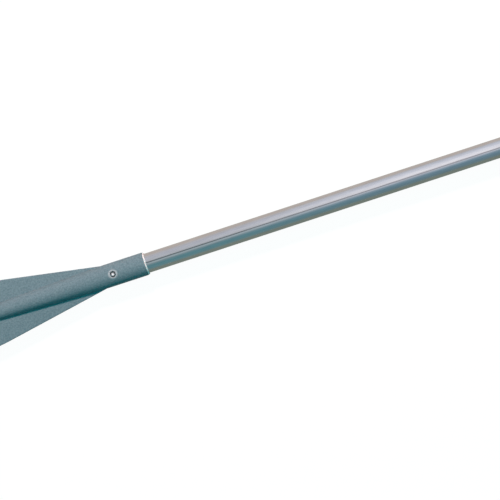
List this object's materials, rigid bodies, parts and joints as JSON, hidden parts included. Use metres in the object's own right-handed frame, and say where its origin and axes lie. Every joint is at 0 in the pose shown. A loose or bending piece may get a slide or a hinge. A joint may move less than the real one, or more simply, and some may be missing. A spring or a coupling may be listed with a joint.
{
  "type": "take-apart rowing oar",
  "caption": "Take-apart rowing oar: moulded blade with a round socket, snap button lock, aluminium tube shaft, clamp-on rowlock collar and ribbed grip.",
  "frame": {"origin": "below the middle of the oar's length, at the height of the lowest point of the collar's flange", "axes": "+X along the oar from the blade to the grip, +Z square to the blade on the snap button's side, +Y across the blade"},
  "size_m": [1.5, 0.1168, 0.0579],
  "materials": {
    "blade_plastic": "fine moulded texture, grey-blue",
    "white_nylon": "smooth moulded white",
    "anodised_tube": "satin anodised, drawn along its length",
    "dark_plastic": "moulded, near black",
    "nickel_button": "polished",
    "spring_steel": "bright drawn wire",
    "grey_foam": "closed-cell foam",
    "grip_rubber": "soft, matt, ribbed",
    "stainless_steel": "bright stainless"
  },
  "bodies": {
    "shaft": {"shaft_tube": "anodised_tube", "shaft_plug": "dark_plastic", "button_spring": "spring_steel", "lower_bung": "grey_foam", "upper_bung": "grey_foam", "grip_sleeve": "grip_rubber", "grip_cap": "dark_plastic"},
    "blade": {"blade": "blade_plastic", "socket_liner": "white_nylon"},
    "button": {"snap_button": "nickel_button"},
    "collar": {"rowlock_collar": "dark_plastic", "collar_screw": "stainless_steel", "collar_washer": "stainless_steel", "collar_nut": "stainless_steel"}
  },
  "joints": [
    {"name": "blade_pull", "type": "slide", "parent": "shaft", "child": "blade", "axis": [-1, 0, 0], "range_m": [0, 0.12], "deforming": ["snap_button"]},
    {"name": "button_press", "type": "slide", "parent": "shaft", "child": "button", "axis": [0, 0, -1], "range_m": [0, 0.0036], "stiffness_N_per_m": 1400, "springref_m": -0.0029, "deforming": ["button_spring"]},
    {"name": "collar_slide", "type": "slide", "parent": "shaft", "child": "collar", "axis": [1, 0, 0], "range_m": [-0.06, 0.1]}
  ]
}
